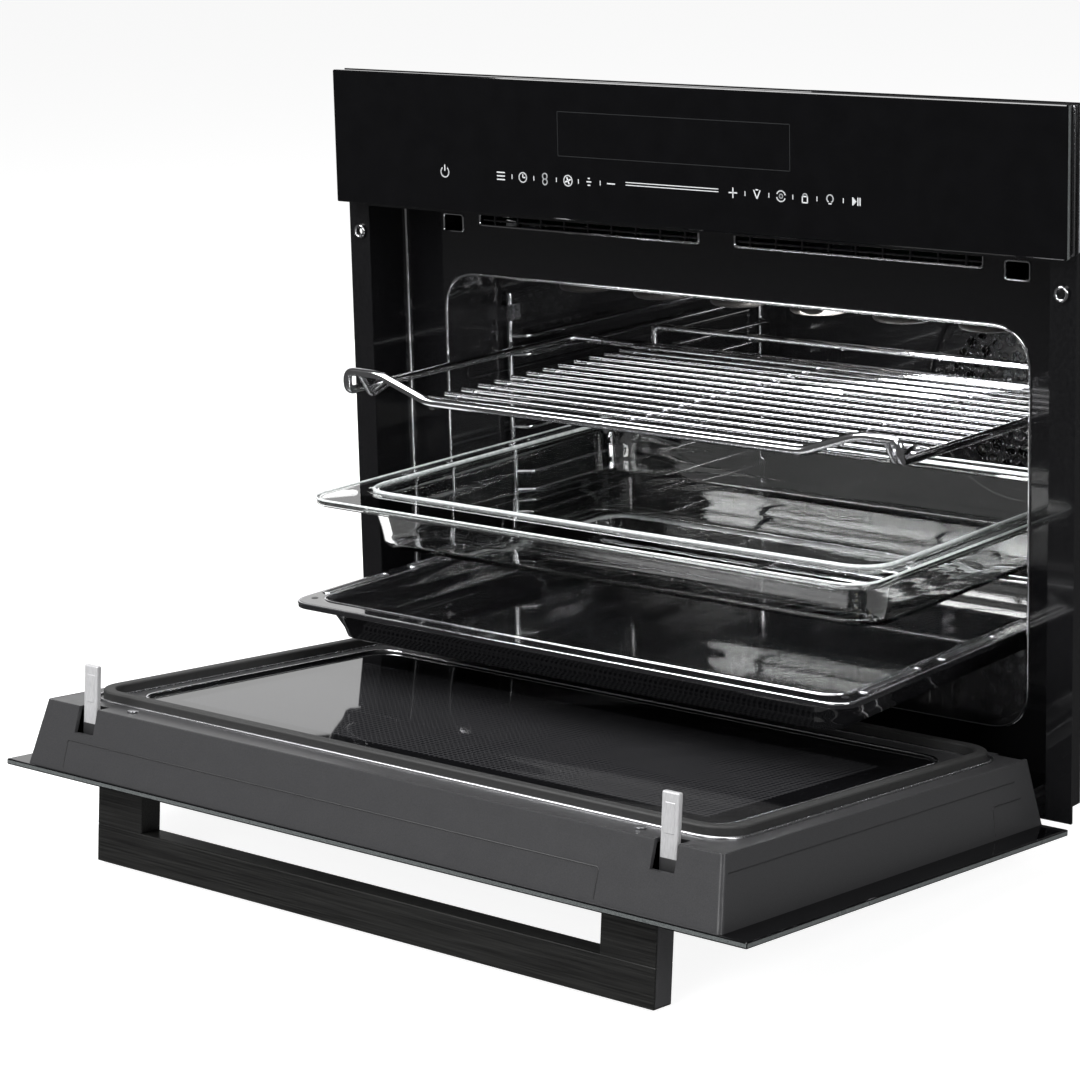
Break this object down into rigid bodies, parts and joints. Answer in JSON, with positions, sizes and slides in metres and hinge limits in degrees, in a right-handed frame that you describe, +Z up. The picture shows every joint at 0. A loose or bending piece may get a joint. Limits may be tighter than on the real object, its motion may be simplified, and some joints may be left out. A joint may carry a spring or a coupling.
{
  "type": "wall oven",
  "caption": "Compact built-in wall oven with microwave: drop-down glass door open, bar handle, touch control panel, wire shelf, clear glass tray and enamel baking tray drawn out.",
  "frame": {"origin": "bottom centre of the front frame, in the plane that butts against the cabinet front", "axes": "+Y into the cabinet, +Z up, +X to the right of a person facing the oven"},
  "size_m": [0.595, 0.902, 0.4849],
  "materials": {
    "gloss_black": "gloss",
    "enamel_black": "gloss enamel",
    "galvanised": "satin zinc",
    "black_glass": "polished black glass",
    "clear_glass": "polished",
    "chrome": "polished",
    "dark_plastic": "fine satin",
    "steel": "satin",
    "light_plastic": "satin",
    "wool": "fibre",
    "rubber": "matt",
    "aluminium": "satin",
    "board": "satin",
    "dark_wood": "dark grain",
    "heater": "matt oxide"
  },
  "bodies": {
    "oven": {"base_plate": "galvanised", "blower_housing": "dark_plastic", "blower_motor": "steel", "case_screws": "galvanised", "cavity_liner": "enamel_black", "control_board": "board", "control_box_sides": "galvanised", "control_panel_glass": "black_glass", "display_module": "dark_plastic", "fan_chamber": "galvanised", "fan_cover": "enamel_black", "fan_motor": "steel", "front_frame": "enamel_black", "grill_element": "heater", "hinge_pins": "steel", "hinge_receiver_left": "steel", "hinge_receiver_right": "steel", "insulation": "wool", "inverter_board": "board", "lamp_holder": "light_plastic", "lamp_lens": "clear_glass", "latch_housing_left": "dark_plastic", "latch_housing_right": "dark_plastic", "magnetron": "aluminium", "panel_carrier": "dark_plastic", "rack_clips": "chrome", "rear_panel": "galvanised", "ring_heater": "heater", "service_deck": "galvanised", "side_panel_left": "galvanised", "side_panel_right": "galvanised", "side_rack_left": "chrome", "side_rack_right": "chrome", "stirrer_cover": "light_plastic", "stirrer_motor": "steel", "temperature_probe": "steel", "terminal_block": "light_plastic", "top_cover": "galvanised", "touch_board": "board", "waveguide": "galvanised"},
    "door": {"door_outer_glass": "black_glass", "door_housing": "dark_plastic", "door_inner_glass": "black_glass", "door_screen": "steel", "door_middle_glass": "clear_glass", "glass_spacers": "rubber", "door_seal": "rubber", "door_hinge_left": "steel", "door_hinge_right": "steel", "hook_pins": "steel", "handle": "dark_wood", "handle_screws": "steel"},
    "latch_left": {"latch_hook_left": "light_plastic"},
    "latch_right": {"latch_hook_right": "light_plastic"},
    "shelf": {"wire_shelf": "chrome"},
    "roasting_dish": {"glass_tray": "clear_glass"},
    "baking_sheet": {"baking_tray": "enamel_black"},
    "fan": {"hot_air_fan": "aluminium"},
    "blower": {"blower_impeller": "dark_plastic"},
    "stirrer": {"mode_stirrer": "aluminium"}
  },
  "joints": [
    {"name": "door_hinge", "type": "hinge", "parent": "oven", "child": "door", "pos_m": [0, -0.0046, 0.004], "axis": [-1, 0, 0], "range_deg": [0, 84.6]},
    {"name": "shelf_slide", "type": "slide", "parent": "oven", "child": "shelf", "axis": [0, 1, 0], "range_m": [0, 0.1802]},
    {"name": "glass_tray_slide", "type": "slide", "parent": "oven", "child": "roasting_dish", "axis": [0, 1, 0], "range_m": [0, 0.2232]},
    {"name": "baking_tray_slide", "type": "slide", "parent": "oven", "child": "baking_sheet", "axis": [0, 1, 0], "range_m": [0, 0.2432]},
    {"name": "hot_air_fan_spin", "type": "hinge", "parent": "oven", "child": "fan", "pos_m": [0, 0.47, 0.173], "axis": [0, 1, 0], "continuous": true},
    {"name": "cooling_blower_spin", "type": "hinge", "parent": "oven", "child": "blower", "pos_m": [-0.17, 0.39, 0.36], "axis": [0, 0, 1], "continuous": true},
    {"name": "stirrer_spin", "type": "hinge", "parent": "oven", "child": "stirrer", "pos_m": [0, 0.245, 0.32], "axis": [0, 0, 1], "continuous": true},
    {"name": "latch_left_pivot", "type": "hinge", "parent": "door", "child": "latch_left", "pos_m": [-0.233, -0.34016, 0.04576], "axis": [1, 0, 0], "range_deg": [0, 5], "stiffness_Nm_per_rad": 1.2, "springref_deg": -2.86},
    {"name": "latch_right_pivot", "type": "hinge", "parent": "door", "child": "latch_right", "pos_m": [0.233, -0.34016, 0.04576], "axis": [1, 0, 0], "range_deg": [0, 5], "stiffness_Nm_per_rad": 1.2, "springref_deg": -2.86}
  ],
  "couplings": [
    {"joint": "shelf_slide", "follows": "door_hinge", "m_per_rad": 0.1219},
    {"joint": "glass_tray_slide", "follows": "door_hinge", "m_per_rad": 0.15103},
    {"joint": "baking_tray_slide", "follows": "door_hinge", "m_per_rad": 0.16457}
  ]
}
